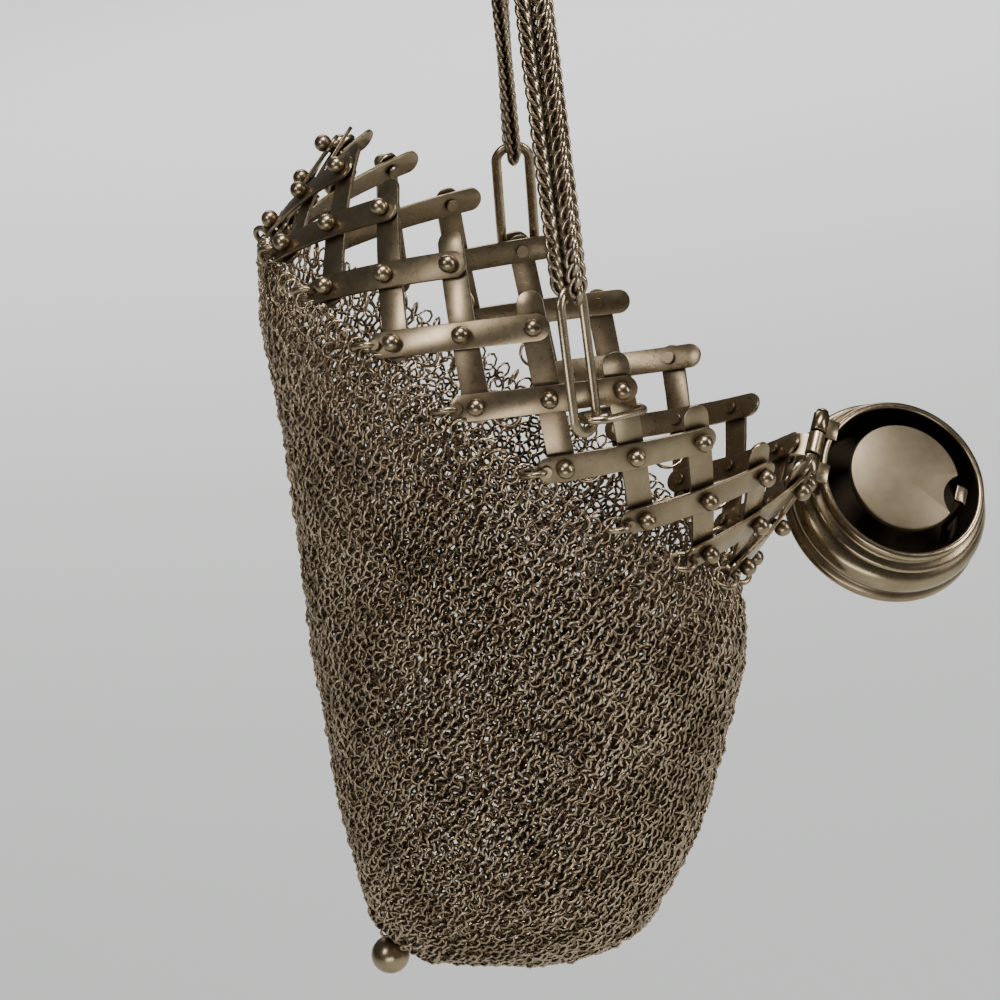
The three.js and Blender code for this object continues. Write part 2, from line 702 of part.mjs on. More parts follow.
purse.add(piece('handle_chain', toGeometry(handleChain()), darkSilver));

export default purse;
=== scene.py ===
import json
import math

import bpy
import numpy as np
from mathutils import Matrix, Vector


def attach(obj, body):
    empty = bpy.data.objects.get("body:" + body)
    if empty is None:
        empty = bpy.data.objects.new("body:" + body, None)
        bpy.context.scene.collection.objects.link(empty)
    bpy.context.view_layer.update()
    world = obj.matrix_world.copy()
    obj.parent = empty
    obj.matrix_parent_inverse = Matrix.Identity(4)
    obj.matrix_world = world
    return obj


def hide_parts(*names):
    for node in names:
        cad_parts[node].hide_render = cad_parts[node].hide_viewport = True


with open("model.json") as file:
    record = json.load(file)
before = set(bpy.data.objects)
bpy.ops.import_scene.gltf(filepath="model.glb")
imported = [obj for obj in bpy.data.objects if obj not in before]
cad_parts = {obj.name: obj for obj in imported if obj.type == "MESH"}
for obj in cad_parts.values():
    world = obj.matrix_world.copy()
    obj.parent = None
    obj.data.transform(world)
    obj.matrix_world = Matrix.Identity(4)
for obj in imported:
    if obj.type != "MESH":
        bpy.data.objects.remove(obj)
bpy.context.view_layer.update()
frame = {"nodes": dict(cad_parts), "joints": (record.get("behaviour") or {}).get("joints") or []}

# The purse hangs from its chain in front of a pale seamless backdrop and is seen through a long lens,
# from a little above and a little to the left, with the picture turned slightly.
MM = 0.001
AZIMUTH, ELEVATION, ROLL = math.radians(6.96), math.radians(17.34), math.radians(-7.41)
CAMERA_PLACE = (-92.6 * MM, -647.5 * MM, 50.0 * MM)
FOCAL_LENGTH, SENSOR_WIDTH = 165.1, 36.0
FLOOR_SIZE, FLOOR_HEIGHT = 8.0, -0.42
PURSE_MIDDLE = (0.0, 0.0, -0.15)

bpy.ops.object.camera_add(location=CAMERA_PLACE)
camera = bpy.context.object
camera.matrix_world = (
    Matrix.Translation(camera.location)
    @ Matrix.Rotation(-AZIMUTH, 4, "Z")
    @ Matrix.Rotation(math.pi / 2 - ELEVATION, 4, "X")
    @ Matrix.Rotation(ROLL, 4, "Z")
)
camera.data.lens = FOCAL_LENGTH
camera.data.sensor_width = SENSOR_WIDTH
camera.data.clip_start = 10 * MM
bpy.context.scene.camera = camera

bpy.ops.mesh.primitive_plane_add(size=FLOOR_SIZE, location=(0.0, 1.0, FLOOR_HEIGHT))
floor = bpy.context.object
floor.name = "floor"
paper = bpy.data.materials.new("backdrop_paper")
paper.use_nodes = True
paper_inputs = paper.node_tree.nodes["Principled BSDF"].inputs
paper_inputs["Base Color"].default_value = (0.60, 0.625, 0.60, 1.0)
paper_inputs["Roughness"].default_value = 0.9
floor.data.materials.append(paper)


def softbox(name, place, target, width, height, watts, spread=180.0):
    """A studio softbox that faces a point. A small spread, in degrees, keeps its light to that place."""
    bpy.ops.object.light_add(type="AREA", location=place)
    light = bpy.context.object
    light.name = name
    light.data.shape = "RECTANGLE"
    light.data.size = width
    light.data.size_y = height
    light.data.energy = watts
    light.data.spread = math.radians(spread)
    light.rotation_euler = (Vector(target) - Vector(place)).to_track_quat("-Z", "Y").to_euler()


softbox("light_left", (-0.50, -0.45, 0.30), PURSE_MIDDLE, 0.12, 0.30, 1.6)
softbox("light_over", (0.10, -0.16, 0.60), PURSE_MIDDLE, 0.45, 0.22, 7.0)
softbox("light_front", (-0.22, -0.80, -0.34), PURSE_MIDDLE, 0.60, 0.20, 1.8)
softbox("light_right", (0.60, -0.25, 0.05), PURSE_MIDDLE, 0.08, 0.45, 1.8)
softbox("light_backdrop", (0.3, 2.1, 1.3), (0.25, 1.45, FLOOR_HEIGHT), 1.8, 0.9, 22.5, spread=80.0)

world = bpy.data.worlds.new("studio")
bpy.context.scene.world = world
world.use_nodes = True
room_inputs = world.node_tree.nodes["Background"].inputs
room_inputs["Color"].default_value = (0.80, 0.82, 0.80, 1.0)
room_inputs["Strength"].default_value = 0.12


# The gate is an expanding lattice. Eighteen flat outer strips lean one way round a ring, each cut from sheet
# with round ends, bent to the ring, drilled at its lower end and carrying three ball-headed rivets.
RING_RADIUS = 42.5 * MM
RING_DROP = 127.15 * MM
RING_TILT = math.radians(43)
PAIRS = 18
PITCH = math.tau / PAIRS
ROW_RISE = 6.81 * MM
HALF_ARC = RING_RADIUS * PITCH / 2
LEAN = math.atan2(ROW_RISE, HALF_ARC)
RIVET_STEP = math.hypot(ROW_RISE, HALF_ARC)
STRIP_WIDTH = 3.8 * MM
STRIP_THICK = 0.55 * MM
LAYER = 0.50 * MM
STRIP_FACE = STRIP_THICK / 2
STRIP_EDGE = 0.09 * MM
EYE_REACH, EYE_HOLE = 2.58 * MM, 0.72 * MM
OUTER_BELOW, OUTER_ABOVE = 3.8 * MM, 2.3 * MM
RIVET_BALL, RIVET_RISE, RIVET_COLLAR = 1.28 * MM, 0.80 * MM, 0.84 * MM
RIVET_SHANK, RIVET_FOOT = 0.55 * MM, 0.98 * MM
RIVET_END = -2 * LAYER - STRIP_FACE - 0.75 * MM
STUD_INDEX = 4
STUD_NECK, STUD_NECK_LENGTH = 0.65 * MM, 2.9 * MM
STUD_HEAD, STUD_BRIM, STUD_DOME = 2.08 * MM, 0.35 * MM, 1.6 * MM

GATE = (
    Matrix.Translation((-ROW_RISE * math.sin(RING_TILT), 0, -RING_DROP - ROW_RISE * math.cos(RING_TILT)))
    @ Matrix.Rotation(RING_TILT, 4, "Y")
)


class Value:
    """A number that a finish works out: sums and products of values add Math nodes."""

    def __init__(self, finish, socket):
        self.finish = finish
        self.socket = socket

    def join(self, operation, *values):
        return self.finish.node("ShaderNodeMath", {"operation": operation}, *values)

    def __add__(self, other):
        return self.join("ADD", self, other)

    def __sub__(self, other):
        return self.join("SUBTRACT", self, other)

    def __rsub__(self, other):
        return self.join("SUBTRACT", other, self)

    def __mul__(self, other):
        return self.join("MULTIPLY", self, other)

    def __pow__(self, other):
        return self.join("POWER", self, other)

    __radd__ = __add__
    __rmul__ = __mul__


class Finish:
    """A finish of the purse's metal, made as one material."""

    def __init__(self, name):
        self.material = bpy.data.materials.new(name)
        self.material.use_nodes = True
        self.tree = self.material.node_tree
        self.shader = self.tree.nodes["Principled BSDF"]

    def node(self, kind, settings, *inputs, out=0, at=None, **named):
        made = self.tree.nodes.new(kind)
        for key, setting in settings.items():
            setattr(made, key, setting)
        for key, value in [*enumerate(inputs), *(at or {}).items(), *named.items()]:
            self.feed(made.inputs[key], value)
        return Value(self, made.outputs[out])

    def feed(self, socket, value):
        if isinstance(value, Value):
            self.tree.links.new(value.socket, socket)
        else:
            socket.default_value = value

    def mix(self, share, first, second):
        """A colour between two others. A mix node's colour sockets have no names of their own."""
        return self.node("ShaderNodeMix", {"data_type": "RGBA"}, out=2, at={0: share, 6: first, 7: second})


SPECK = 0.9 * MM
PAINTED_SHADE_BLACK = (0.035, 0.026, 0.018, 1.0)


def tarnished_and_shaded(name, light, dark, shine, patch, grain, reach=2.0, hollow=False):
    """Silver that has been handled: bright where it is rubbed, brown where it isn't, and darker brown in its
    corners and between parts, which is partly tarnish and partly painted shade.
    Where a piece marks a hollow, the metal inside it is painted near black as shade."""
    finish = Finish(name)
    place = finish.node("ShaderNodeTexCoord", {}, out=3)
    patches = finish.node("ShaderNodeTexNoise", {}, place, Scale=1 / (patch * MM), Detail=5.0, Roughness=0.62)
    specks = finish.node("ShaderNodeTexNoise", {}, place, Scale=1 / SPECK, Detail=4.0, Roughness=0.7)
    # Ambient occlusion darkens corners, creases and the gaps between parts towards brown: partly tarnish in
    # the hollows, partly painted shade.
    open_air = finish.node("ShaderNodeAmbientOcclusion", {"samples": 6}, Distance=reach * MM, out=1)
    spread = finish.node("ShaderNodeMapRange", {}, patches, 0.36, 0.66, 0.0, 1.0)
    rubbed = spread * 0.7 + specks * 0.35
    tarnish_and_shade = (1.0 - open_air) ** 0.8
    brown = tuple(0.22 * channel for channel in dark[:3]) + (1.0,)
    colour = finish.mix(rubbed, dark, light)
    colour = finish.mix(tarnish_and_shade, colour, brown)
    roughness = shine + specks * 0.16 + tarnish_and_shade * 0.25
    # Inside a marked hollow the colour is painted near black as shade, and the metal is made rougher.
    if hollow:
        inside = finish.node("ShaderNodeAttribute", {"attribute_name": "hollow"}, out=2)
        colour = finish.mix(inside, colour, PAINTED_SHADE_BLACK)
        roughness = roughness + inside * 0.25
    finish.feed(finish.shader.inputs["Base Color"], colour)
    finish.shader.inputs["Metallic"].default_value = 1.0
    finish.feed(finish.shader.inputs["Roughness"], roughness)
    bump = finish.node("ShaderNodeBump", {}, Strength=grain, Distance=0.05 * MM, Height=specks + patches)
    finish.feed(finish.shader.inputs["Normal"], bump)
    return finish.material


strip_silver = tarnished_and_shaded(
    "strip_silver", (0.405, 0.315, 0.20, 1.0), (0.23, 0.17, 0.105, 1.0), 0.21, patch=11.0, grain=0.10)


def start():
    """Leaves object mode with nothing selected."""
    if bpy.context.object and bpy.context.object.mode != "OBJECT":
        bpy.ops.object.mode_set(mode="OBJECT")
    bpy.ops.object.select_all(action="DESELECT")


def choose(obj):
    """Makes one object the selected and active one."""
    start()
    bpy.context.view_layer.objects.active = obj
    obj.select_set(True)


def edit(obj):
    """Opens one object for editing with nothing in it selected."""
    choose(obj)
    bpy.ops.object.mode_set(mode="EDIT")
    bpy.ops.mesh.select_all(action="DESELECT")


def pick_edges(obj, test):
    """Selects the edges of an edited object whose middle and direction pass the test."""
    bpy.ops.mesh.select_mode(type="EDGE")
    bpy.ops.object.mode_set(mode="OBJECT")
    for edge in obj.data.edges:
        first, second = (obj.data.vertices[index].co for index in edge.vertices)
        edge.select = test((first + second) / 2, second - first)
    bpy.ops.object.mode_set(mode="EDIT")


def cut_across(places):
    """Cuts the edited object square to x at each place, so that it can bend there."""
    for place in places:
        bpy.ops.mesh.select_all(action="SELECT")
        bpy.ops.mesh.bisect(plane_co=(place, 0, 0), plane_no=(1, 0, 0))


def apply_modifier(obj, modifier):
    """Makes a modifier's result the object's own mesh."""
    choose(obj)
    bpy.ops.object.modifier_apply(modifier=modifier.name)


def cut_away(obj, bit):
    """Cuts one shape out of another."""
    cut = obj.modifiers.new("cut", "BOOLEAN")
    cut.operation = "DIFFERENCE"
    cut.object = bit
    apply_modifier(obj, cut)
    bpy.data.objects.remove(bit)


def bake(obj, mapping):
    """Moves every vertex of a piece to its place and leaves the object at the origin."""
    start()
    world_places = [obj.matrix_world @ vertex.co for vertex in obj.data.vertices]
    obj.matrix_world = Matrix.Identity(4)
    for vertex, place in zip(obj.data.vertices, world_places):
        vertex.co = mapping(place)
    obj.data.update()


def fuse(pieces, name):
    """Joins pieces into one object."""
    start()
    for piece in pieces:
        piece.select_set(True)
    bpy.context.view_layer.objects.active = pieces[0]
    bpy.ops.object.transform_apply(location=True, rotation=True, scale=True)
    bpy.ops.object.join()
    whole = bpy.context.object
    whole.name = name
    return whole


def smooth(obj, degrees=40):
    """Smooth shading, with creases where faces meet sharply."""
    choose(obj)
    bpy.ops.object.shade_smooth_by_angle(angle=math.radians(degrees))


def finish_piece(obj, name, material, body, node):
    """Names a finished piece, gives it its finish, seats it on its body and hides its node in the frame."""
    obj.name = name
    obj.data.name = name
    obj.data.materials.clear()
    obj.data.materials.append(material)
    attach(obj, body)
    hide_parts(node)


def flat_bar(length_below, length_above):
    """A flat bar with round ends and softly broken edges, cut into short lengths so that it can bend."""
    bpy.ops.mesh.primitive_cube_add(size=1.0)
    bar = bpy.context.object
    bottom, top = -RIVET_STEP - length_below, RIVET_STEP + length_above
    bar.scale = (top - bottom, STRIP_WIDTH, STRIP_THICK)
    bar.location.x = (top + bottom) / 2
    bpy.ops.object.transform_apply(location=True, scale=True)
    edit(bar)
    pick_edges(bar, lambda at, way: abs(way.z) > 0.9 * STRIP_THICK)
    bpy.ops.mesh.bevel(offset=0.49 * STRIP_WIDTH, segments=6, affect="EDGES")
    pick_edges(bar, lambda at, way: abs(abs(at.z) - STRIP_FACE) < 1e-6 and abs(way.z) < 1e-6)
    bpy.ops.mesh.bevel(offset=STRIP_EDGE, segments=2, affect="EDGES")
    cut_across(np.linspace(bottom + STRIP_WIDTH / 2, top - STRIP_WIDTH / 2, 9))
    start()
    return bar


def drill(obj, x, radius):
    """A round hole through a flat bar."""
    bpy.ops.mesh.primitive_cylinder_add(vertices=20, radius=radius, depth=4 * STRIP_THICK, location=(x, 0, 0))
    cut_away(obj, bpy.context.object)


def turned(name, profile, steps):
    """A turned shape: the profile of (radius, height) rows is spun round z."""
    mesh = bpy.data.meshes.new(name)
    rows = [(radius, 0, height) for radius, height in profile]
    mesh.from_pydata(rows, [(row, row + 1) for row in range(len(rows) - 1)], [])
    obj = bpy.data.objects.new(name, mesh)
    bpy.context.collection.objects.link(obj)
    edit(obj)
    bpy.ops.mesh.select_all(action="SELECT")
    bpy.ops.mesh.spin(steps=steps, angle=math.tau, center=(0, 0, 0), axis=(0, 0, 1))
    bpy.ops.mesh.select_all(action="SELECT")
    bpy.ops.mesh.remove_doubles(threshold=1e-6)
    bpy.ops.mesh.normals_make_consistent(inside=False)
    start()
    return obj


def ball_profile(radius, middle, first, last, rows):
    """Rows of a ball's outline between two angles from its top."""
    turns = np.linspace(math.radians(first), math.radians(last), rows)
    return [(radius * math.sin(turn), middle + radius * math.cos(turn)) for turn in turns]


rivet_tail = [
    (RIVET_SHANK, RIVET_END + 0.4 * MM), (RIVET_FOOT, RIVET_END + 0.3 * MM),
    (RIVET_FOOT - 0.06 * MM, RIVET_END), (0.0, RIVET_END),
]


def rivet(x):
    """A rivet with a polished ball head on a thin collar, and its flat foot inside."""
    head = ball_profile(RIVET_BALL, STRIP_FACE + RIVET_RISE, 0, 128, 9)
    collar = [(RIVET_COLLAR, STRIP_FACE + 0.02 * MM), (RIVET_SHANK, STRIP_FACE - 0.1 * MM)]
    stem = turned("rivet", [*head, *collar, *rivet_tail], 14)
    stem.location.x = x
    return stem


def stud(x):
    """The far side's top rivet has a longer neck and a wide domed head, which keep the long link on it."""
    neck_top = STRIP_FACE + STUD_NECK_LENGTH
    brim = neck_top + STUD_BRIM
    dome = [(0.0, brim + STUD_DOME)]
    for turn in np.linspace(math.radians(12), math.pi / 2, 8):
        dome.append((STUD_HEAD * math.sin(turn), brim + STUD_DOME * math.cos(turn)))
    neck = [
        (STUD_HEAD - 0.13 * MM, neck_top), (STUD_NECK + 0.01 * MM, neck_top - 0.02 * MM),
        (STUD_NECK, STRIP_FACE), (RIVET_SHANK, STRIP_FACE),
    ]
    stem = turned("stud", [*dome, *neck, *rivet_tail], 20)
    stem.location.x = x
    return stem


def round_the_ring(middle_angle, lean, radius):
    """Bends a flat strip to the ring: x runs up the strip, y across it, z outward."""
    def mapping(point):
        arc = lean * point.x * math.cos(LEAN) - point.y * math.sin(LEAN)
        rise = point.x * math.sin(LEAN) + lean * point.y * math.cos(LEAN)
        angle = middle_angle + arc / RING_RADIUS
        reach = radius + point.z
        return GATE @ Vector((reach * math.cos(angle), reach * math.sin(angle), rise))
    return mapping


def copied(obj, name):
    """A copy with its own mesh."""
    twin = obj.copy()
    twin.data = obj.data.copy()
    twin.name = name
    bpy.context.collection.objects.link(twin)
    return twin


def outer_pattern(with_stud):
    """The outer strip as it lies flat, before it is bent."""
    bar = flat_bar(OUTER_BELOW, OUTER_ABOVE)
    drill(bar, -RIVET_STEP - EYE_REACH, EYE_HOLE)
    top = stud(RIVET_STEP) if with_stud else rivet(RIVET_STEP)
    strip = fuse([bar, rivet(-RIVET_STEP), rivet(0.0), top], "outer_pattern")
    smooth(strip)
    return strip


outer_plain = outer_pattern(False)
outer_with_stud = outer_pattern(True)
for index in range(PAIRS):
    label = f"outer_strip_{index + 1:02d}"
    strip = copied(outer_with_stud if index == STUD_INDEX else outer_plain, f"{label}_metal")
    bake(strip, round_the_ring(index * PITCH, 1, RING_RADIUS + LAYER))
    finish_piece(strip, f"{label}_metal", strip_silver, "purse", label)
for pattern in (outer_plain, outer_with_stud):
    bpy.data.objects.remove(pattern)


# Eighteen inner strips lean the other way inside the outer ones, on the same rivets. They reach further up,
# past the top rivets, and are plain flat bars with round ends.
INNER_BELOW, INNER_ABOVE = 2.4 * MM, 5.2 * MM
HINGE_INDEX = 1

inner_pattern = flat_bar(INNER_BELOW, INNER_ABOVE)
smooth(inner_pattern)
for index in range(PAIRS):
    if index == HINGE_INDEX:
        continue
    label = f"inner_strip_{index + 1:02d}"
    strip = copied(inner_pattern, f"{label}_metal")
    bake(strip, round_the_ring(index * PITCH, -1, RING_RADIUS - LAYER))
    finish_piece(strip, f"{label}_metal", strip_silver, "purse", label)


# One inner strip carries the lid: above its top rivet a flat arm runs on, bends outward and is rolled round
# the hinge pin into the hinge's middle knuckle, square to the strip.
HINGE_RISE, HINGE_STANDOFF = 6.4 * MM, 2.2 * MM
KNUCKLE, KNUCKLE_BORE, KNUCKLE_EDGE = 1.25 * MM, 0.75 * MM, 0.15 * MM
PIN = 0.5 * MM
hinge_joint = next(joint for joint in frame["joints"] if joint["name"] == "lid_hinge")
hinge_at = Vector(hinge_joint["pos_m"])
hinge_way = Vector(hinge_joint["axis"]).normalized()
hinge_turn = (HINGE_INDEX - 0.5) * PITCH
outward = (GATE.to_3x3() @ Vector((math.cos(hinge_turn), math.sin(hinge_turn), 0))).normalized()
upward = outward.cross(hinge_way).normalized()


def basis(x, y, z, at):
    """A placing matrix from three directions and a point."""
    return Matrix.Translation(at) @ Matrix((x, y, z)).transposed().to_4x4()


def rolled(length):
    """A knuckle: sheet rolled round the pin, with softly broken ends."""
    half = length / 2
    return turned("knuckle", [
        (KNUCKLE_BORE, -half), (KNUCKLE - KNUCKLE_EDGE, -half), (KNUCKLE, -half + KNUCKLE_EDGE),
        (KNUCKLE, half - KNUCKLE_EDGE), (KNUCKLE - KNUCKLE_EDGE, half), (KNUCKLE_BORE, half),
        (KNUCKLE_BORE, -half),
    ], 24)


def bent_strip(line, width, thick):
    """A flat strip whose middle follows a line of (x, z) points."""
    bpy.ops.mesh.primitive_cube_add(size=1.0)
    strip = bpy.context.object
    strip.scale = (1.0, width, thick)
    bpy.ops.object.transform_apply(scale=True)
    edit(strip)
    cut_across(np.linspace(-0.5, 0.5, len(line))[1:-1])
    start()
    for vertex in strip.data.vertices:
        row = round((vertex.co.x + 0.5) * (len(line) - 1))
        before, after = line[max(row - 1, 0)], line[min(row + 1, len(line) - 1)]
        way = Vector((after[0] - before[0], after[1] - before[1])).normalized()
        x, z = line[row]
        vertex.co = Vector((x - way.y * vertex.co.z, vertex.co.y, z + way.x * vertex.co.z))
    return strip


arm_line = [
    (0.2 * MM, 0.0), (2.2 * MM, 0.0), (3.6 * MM, 0.25 * MM), (4.9 * MM, 1.3 * MM), (5.5 * MM, HINGE_STANDOFF),
]
arm = bent_strip(arm_line, 0.99 * STRIP_WIDTH, STRIP_THICK)
hinge_foot = hinge_at - upward * HINGE_RISE - outward * HINGE_STANDOFF
arm.matrix_world = basis(upward, -hinge_way, outward, hinge_foot)
arm_knuckle = rolled(STRIP_WIDTH)
arm_knuckle.matrix_world = basis(upward, outward, upward.cross(outward), hinge_at)
hinge_strip = copied(inner_pattern, "hinge_strip_metal")
bake(hinge_strip, round_the_ring(HINGE_INDEX * PITCH, -1, RING_RADIUS - LAYER))
hinge_strip = fuse([hinge_strip, arm, arm_knuckle], "hinge_strip_metal")
smooth(hinge_strip)
finish_piece(hinge_strip, "hinge_strip_metal", strip_silver, "purse", "hinge_strip")
bpy.data.objects.remove(inner_pattern)


# Eighteen jump rings of round wire pass through the eyes at the outer strips' lower ends and carry the bag.
# Larger loose rings hang behind them from the inner strips' lower ends and take up the mesh's top row.
JUMP_MEAN, JUMP_WIRE = 1.70 * MM, 0.44 * MM
LOOSE_MEAN, LOOSE_WIRE = 2.1 * MM, 0.26 * MM
LOOSE_BEHIND, LOOSE_DROP = 1.2 * MM, 1.6 * MM
mesh_silver = tarnished_and_shaded(
    "mesh_silver", (0.72, 0.555, 0.38, 1.0), (0.24, 0.17, 0.10, 1.0), 0.15, patch=9.0, grain=0.08, reach=1.8)


def wire_ring(mean, wire):
    """A closed ring of round wire, lying flat."""
    bpy.ops.mesh.primitive_torus_add(
        major_radius=mean, minor_radius=wire, major_segments=28, minor_segments=10)
    return bpy.context.object


def ring_ways(turn):
    """The directions out from the gate's axis and round it, at a place on the gate."""
    out = Vector((math.cos(turn), math.sin(turn), 0))
    return out, Vector((-out.y, out.x, 0))


jump_along = -RIVET_STEP - EYE_REACH - JUMP_MEAN
jump_rings = []
for index in range(PAIRS):
    out, around = ring_ways(index * PITCH + jump_along * math.cos(LEAN) / RING_RADIUS)
    along = around * math.cos(LEAN) + Vector((0, 0, math.sin(LEAN)))
    ring = wire_ring(JUMP_MEAN, JUMP_WIRE)
    at = out * (RING_RADIUS + LAYER) + Vector((0, 0, jump_along * math.sin(LEAN)))
    ring.matrix_world = GATE @ basis(along, out, along.cross(out), at)
    jump_rings.append(ring)
jump_rings = fuse(jump_rings, "jump_rings")
smooth(jump_rings, 80)
finish_piece(jump_rings, "jump_rings", strip_silver, "purse", "mesh_bag")

loose_rings = []
for index in range(PAIRS):
    out, around = ring_ways((index - 0.5) * PITCH + (0.42 * STRIP_WIDTH + LOOSE_MEAN) / RING_RADIUS)
    ring = wire_ring(LOOSE_MEAN, LOOSE_WIRE)
    at = out * (RING_RADIUS - LAYER - LOOSE_BEHIND) + Vector((0, 0, LOOSE_DROP - ROW_RISE))
    nod = 0.35 + 0.25 * math.sin(7 * index)
    down = (Vector((0, 0, -1)) * math.cos(nod) - out * math.sin(nod)).normalized()
    ring.matrix_world = GATE @ basis(around, down, around.cross(down), at)
    loose_rings.append(ring)
loose_rings = fuse(loose_rings, "loose_rings")
smooth(loose_rings, 80)
finish_piece(loose_rings, "loose_rings", mesh_silver, "purse", "mesh_bag")


# The bag is ring mesh: thousands of small rings of drawn wire, each passing through its neighbours in rows
# that lean one way and then the other. It hangs straight down from the tilted gate and gathers at the cap.
BAG_RIM, BAG_DEPTH = -10.42 * MM, 75.3 * MM
BAG_SIDES, BAG_LEVELS = 240, 161
MESH_PITCH, MESH_ROW = 1.38 * MM, 1.36 * MM
MESH_MEAN, MESH_WIRE = 1.02 * MM, 0.25 * MM
MESH_LEAN = math.radians(38)
LOOSE_ROWS = 9
LOOSE_ROW_GAIN, LOOSE_PITCH_GAIN, LOOSE_SIZE_GAIN, LOOSE_WIRE_LOSS = 0.45, 0.55, 0.32, 0.12
UNEVEN_TURN, UNEVEN_PLACE, UNEVEN_SIZE = 0.28, 0.11 * MM, 0.04
bag_sections = np.array([
    # depth, sideways, half width, half depth
    (0.00, 0.000, 1.000, 1.00),
    (0.12, 0.175, 1.015, 0.96),
    (0.26, 0.360, 0.945, 0.90),
    (0.42, 0.550, 0.870, 0.84),
    (0.58, 0.710, 0.775, 0.77),
    (0.72, 0.835, 0.655, 0.68),
    (0.85, 0.865, 0.460, 0.52),
    (0.94, 0.855, 0.260, 0.33),
    (1.00, 0.855, 0.140, 0.14),
])


def eased(rows, depth):
    """The sections' columns at any depth, on a smooth curve through the rows."""
    at = rows[:, 0]
    slope = np.gradient(rows[:, 1:], at, axis=0)
    low = np.clip(np.searchsorted(at, depth, side="right") - 1, 0, len(at) - 2)
    span = (at[low + 1] - at[low])[:, None]
    share = (depth - at[low])[:, None] / span
    first, second = rows[low, 1:], rows[low + 1, 1:]
    return (
        first * (1 + 2 * share) * (1 - share) ** 2
        + second * share**2 * (3 - 2 * share)
        + span * (slope[low] * share * (1 - share) ** 2 - slope[low + 1] * share**2 * (1 - share))
    )


angles = np.linspace(0, math.tau, BAG_SIDES, endpoint=False)
depths = 1 - (1 - np.linspace(0, 1, BAG_LEVELS)) ** 1.25
columns = eased(bag_sections, depths)
skin = np.zeros((len(depths), BAG_SIDES, 3))
skin[:, :, 0] = RING_RADIUS * (columns[:, 0:1] + columns[:, 1:2] * np.cos(angles))
skin[:, :, 1] = RING_RADIUS * columns[:, 2:3] * np.sin(angles)
skin[:, :, 2] = (BAG_RIM - BAG_DEPTH * depths)[:, None]
steps = np.linalg.norm(np.diff(skin, axis=0), axis=2)
travel = np.vstack([np.zeros(BAG_SIDES), np.cumsum(steps, axis=0)])
mean_travel = travel[-1].mean()
rng = np.random.default_rng(7)


def mesh_row(share):
    """The closed line of one row: each column of the skin is followed for the same share of its length."""
    line = np.zeros((BAG_SIDES, 3))
    for column in range(BAG_SIDES):
        for axis in range(3):
            line[column, axis] = np.interp(
                share * travel[-1, column], travel[:, column], skin[:, column, axis])
    return line


def unit(vectors):
    """The same directions, each with a length of one."""
    return vectors / np.linalg.norm(vectors, axis=-1, keepdims=True)


def along_line(line, count, shift):
    """Evenly spaced places and directions round a closed line."""
    closed = np.vstack([line, line[:1]])
    lengths = np.concatenate([[0], np.cumsum(np.linalg.norm(np.diff(closed, axis=0), axis=1))])
    wanted = (np.arange(count) + shift) / count * lengths[-1] % lengths[-1]
    places = np.stack([np.interp(wanted, lengths, closed[:, axis]) for axis in range(3)], axis=1)
    ahead = np.stack([
        np.interp((wanted + 0.4 * MM) % lengths[-1], lengths, closed[:, axis]) for axis in range(3)], axis=1)
    return places, unit(ahead - places + 1e-9), wanted / lengths[-1]


def ring_shape(around, section):
    """The vertices of one ring as an angle round it and an angle round its wire, and its faces."""
    turns = np.repeat(np.arange(around) * math.tau / around, section)
    rolls = np.tile(np.arange(section) * math.tau / section, around)
    faces = []
    for step in range(around):
        for side in range(section):
            nearby = (step + 1) % around * section
            faces.append((
                step * section + side,
                nearby + side,
                nearby + (side + 1) % section,
                step * section + (side + 1) % section,
            ))
    return turns, rolls, np.array(faces)


def ring_field(name, rings, around, section):
    """One mesh of many rings, each with a middle, two directions in its plane, a mean radius and a wire."""
    middles, firsts, seconds, means, wires = (np.concatenate(column) for column in zip(*rings))
    normals = np.cross(firsts, seconds)
    turns, rolls, faces = ring_shape(around, section)
    reach = means[:, None] + wires[:, None] * np.cos(rolls)[None]
    points = (
        middles[:, None]
        + reach[..., None] * (np.cos(turns)[None, :, None] * firsts[:, None]
                              + np.sin(turns)[None, :, None] * seconds[:, None])
        + (wires[:, None] * np.sin(rolls)[None])[..., None] * normals[:, None]
    )
    count = len(middles)
    all_faces = (faces[None] + (np.arange(count) * len(turns))[:, None, None]).reshape(-1, 4)
    mesh = bpy.data.meshes.new(name)
    mesh.from_pydata(points.reshape(-1, 3), [], all_faces.tolist())
    mesh.polygons.foreach_set("use_smooth", np.ones(len(mesh.polygons), bool))
    mesh.update()
    obj = bpy.data.objects.new(name, mesh)
    bpy.context.collection.objects.link(obj)
    return obj


